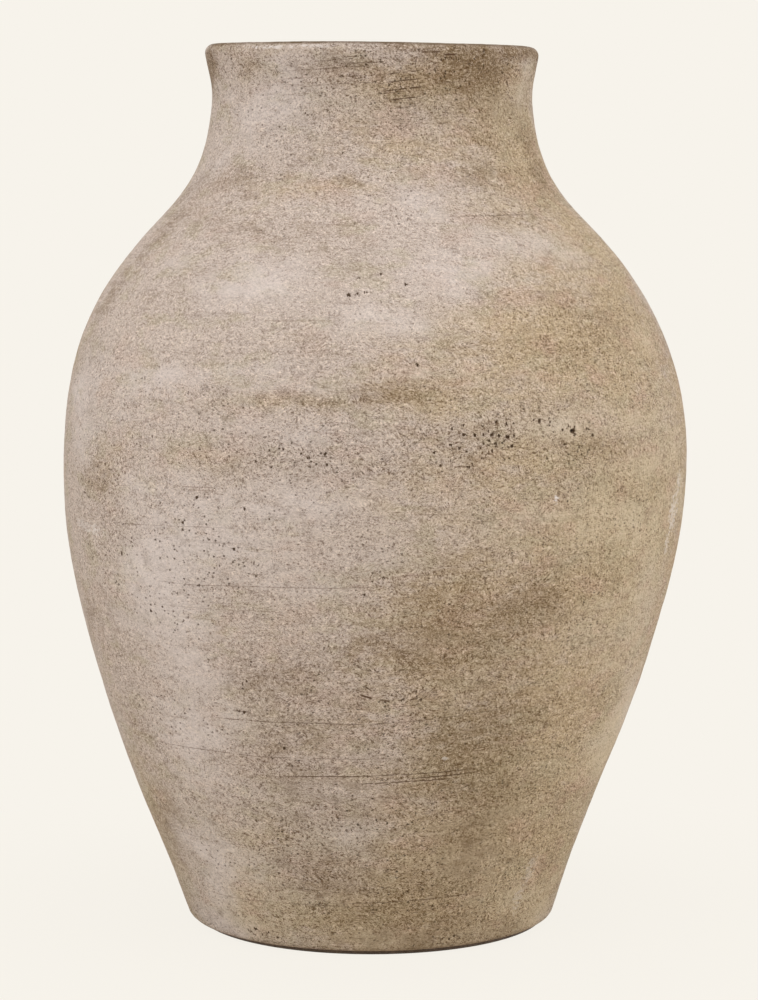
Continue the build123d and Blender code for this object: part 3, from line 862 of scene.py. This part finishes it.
# Thrown rings. Each is a thick ring of the same clay, opened and pulled up on the wheel, then
# luted onto the ring below and thrown on. Together they make the wall from the foot to the neck.
rings = [  # the node and the pitch of its mesh in metres
    ("base_ring", 0.0015), ("lower_body_ring", 0.00135), ("belly_ring", 0.00147),
    ("lower_shoulder_ring", 0.00115), ("upper_shoulder_ring", 0.00115), ("neck_collar", 0.001),
]
for node, fine in rings:
    ring = throw(node, node + "_thrown", fine)
    fire(ring, node, fired_clay)


# Rim coil. A rolled coil of clay laid on the neck, thrown outwards into a lip and rounded with
# a wet cloth, so its edge is smooth and the wash is rubbed thin on it.
rim_coil = throw("rim_coil", "rim_coil_thrown", 0.0006, 0.0015)
fire(rim_coil, "rim_coil", fired_clay)


# Slip seams. Slip is clay let down with water, which lutes each ring to the next. It is wiped
# flush on the outside, stained and washed with the rest, and shows only as a faint line.
seam_clay = clay_finish("fired_slip")
for node in [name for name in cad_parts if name.endswith("slip_seam")]:
    seam = throw(node, node + "_wiped", 0.0005, 0.002, band=True)
    fire(seam, node, seam_clay)


# Felt. A disc of dark pressed wool felt, cut from a flat sheet and glued under the foot inside its
# rounded edge, so that the jar stands quietly and doesn't scratch what it stands on.
# Its dark colour also stands in for the shade in the gap under the foot's rounded edge.
felt_radius, _, felt_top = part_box("base_felt")[1]
felt_rings, ring_width = 7, 0.0122
bpy.ops.object.select_all(action="DESELECT")
bpy.ops.mesh.primitive_cylinder_add(
    vertices=448, radius=felt_radius, depth=felt_top, end_fill_type="NGON", location=(0, 0, felt_top / 2)
)
felt = bpy.context.active_object
felt.name = felt.data.name = "felt_disc"
bpy.ops.object.mode_set(mode="EDIT")
bpy.ops.mesh.select_all(action="DESELECT")
bpy.ops.object.mode_set(mode="OBJECT")
edit_faces(felt.data, [abs(face.normal.z) > 0.9 for face in felt.data.polygons])
for _ in range(felt_rings):
    bpy.ops.mesh.inset(thickness=ring_width, depth=0)
bpy.ops.mesh.select_all(action="DESELECT")
bpy.ops.object.mode_set(mode="OBJECT")
bpy.ops.object.transform_apply()
bevel = felt.modifiers.new("worn edge", "BEVEL")
bevel.width = 0.0005
bevel.segments = 2
bevel.limit_method = "ANGLE"
bpy.ops.object.modifier_apply(modifier="worn edge")
bpy.ops.object.shade_smooth_by_angle(angle=math.radians(50))
felt_and_shade_finish = bpy.data.materials.new("dark_felt")
start = bare_tree(felt_and_shade_finish)
own = start.node("ShaderNodeTexCoord", out="Object")
fibre = own.noise(900, 4, 0.7)
tuft = own.noise(160)
worn = (fibre * 0.7 + tuft * 0.3).eased(0.35, 0.68)
# Dark felt colour, which also paints the shade under the foot's edge.
felt_and_shade_colour = blend(worn, seen(84, 70, 58), seen(124, 107, 90))
felt_bump = start.node("ShaderNodeBump", {}, {"Distance": 0.0004, "Height": fibre})
felt_shader = start.node("ShaderNodeBsdfPrincipled", {}, {
    "Base Color": felt_and_shade_colour, "Roughness": 1.0, "Sheen Weight": 0.3, "Normal": felt_bump,
})
start.node("ShaderNodeOutputMaterial", {}, {"Surface": felt_shader})
felt.data.materials.append(felt_and_shade_finish)
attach(felt, "root")
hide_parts("base_felt")


# Floor and light. A pale cream floor runs off into a background of the same cream, and soft
# lamps stand on both sides and above, as in a product photographer's tent.
cream, warm_white = seen(247, 243, 235), (1.0, 0.985, 0.96, 1)
shadow_kept = 0.05  # how much of the shadow under the jar is let through the cream
bpy.ops.object.select_all(action="DESELECT")
bpy.ops.mesh.primitive_circle_add(vertices=128, radius=12, fill_type="NGON")
floor = bpy.context.active_object
floor.name = floor.data.name = "floor"


def seen_directly(start):
    """1 for rays from the camera, also by way of a mirror or glass, and 0 for rays that carry light."""
    path = start.node("ShaderNodeLightPath", out="Is Camera Ray")
    mirrored, through = path.other("Is Glossy Ray"), path.other("Is Transmission Ray")
    return path.math("MAXIMUM", mirrored).math("MAXIMUM", through)


floor_finish = bpy.data.materials.new("floor_finish")
start = bare_tree(floor_finish)
far = start.node("ShaderNodeTexCoord", out="Object").vectors("LENGTH", out="Value")
paper = start.node("ShaderNodeBsdfDiffuse", {}, {"Color": seen(226, 220, 210)})
glow = start.node("ShaderNodeEmission", {}, {"Color": cream})
shown = seen_directly(start) * (1 - shadow_kept + far.eased(0.1, 0.36) * shadow_kept)
covered = start.node("ShaderNodeMixShader", {}, {0: shown, 1: paper, 2: glow})
start.node("ShaderNodeOutputMaterial", {}, {"Surface": covered})
floor.data.materials.append(floor_finish)

world = bpy.data.worlds.new("studio")
start = bare_tree(world)
tent = start.node("ShaderNodeBackground", {}, {"Color": warm_white, "Strength": 0.64})
backdrop = start.node("ShaderNodeBackground", {}, {"Color": cream})
around = start.node("ShaderNodeMixShader", {}, {0: seen_directly(start), 1: tent, 2: backdrop})
start.node("ShaderNodeOutputWorld", {}, {"Surface": around})
bpy.context.scene.world = world
bpy.context.scene.view_settings.view_transform = "Standard"


def lamp(name, place, wide, tall, power, aim=(0, 0, 0.25)):
    """A soft box that faces the middle of the belly."""
    data = bpy.data.lights.new(name, "AREA")
    data.shape, data.size, data.size_y, data.energy = "RECTANGLE", wide, tall, power
    box = bpy.data.objects.new(name, data)
    box.location = place
    way = np.array(aim) - np.array(place)
    level = math.hypot(*way[:2])
    box.rotation_euler = (math.pi / 2 + math.atan2(way[2], level), 0, math.atan2(-way[0], way[1]))
    bpy.context.collection.objects.link(box)


lamp("left_softbox", (-1.2, -1.15, 0.8), 1.0, 1.5, 9.5)
lamp("right_softbox", (1.5, -0.6, 0.7), 1.0, 1.5, 9.5)
lamp("overhead_softbox", (-0.1, -0.3, 1.9), 1.4, 1.4, 10.5)
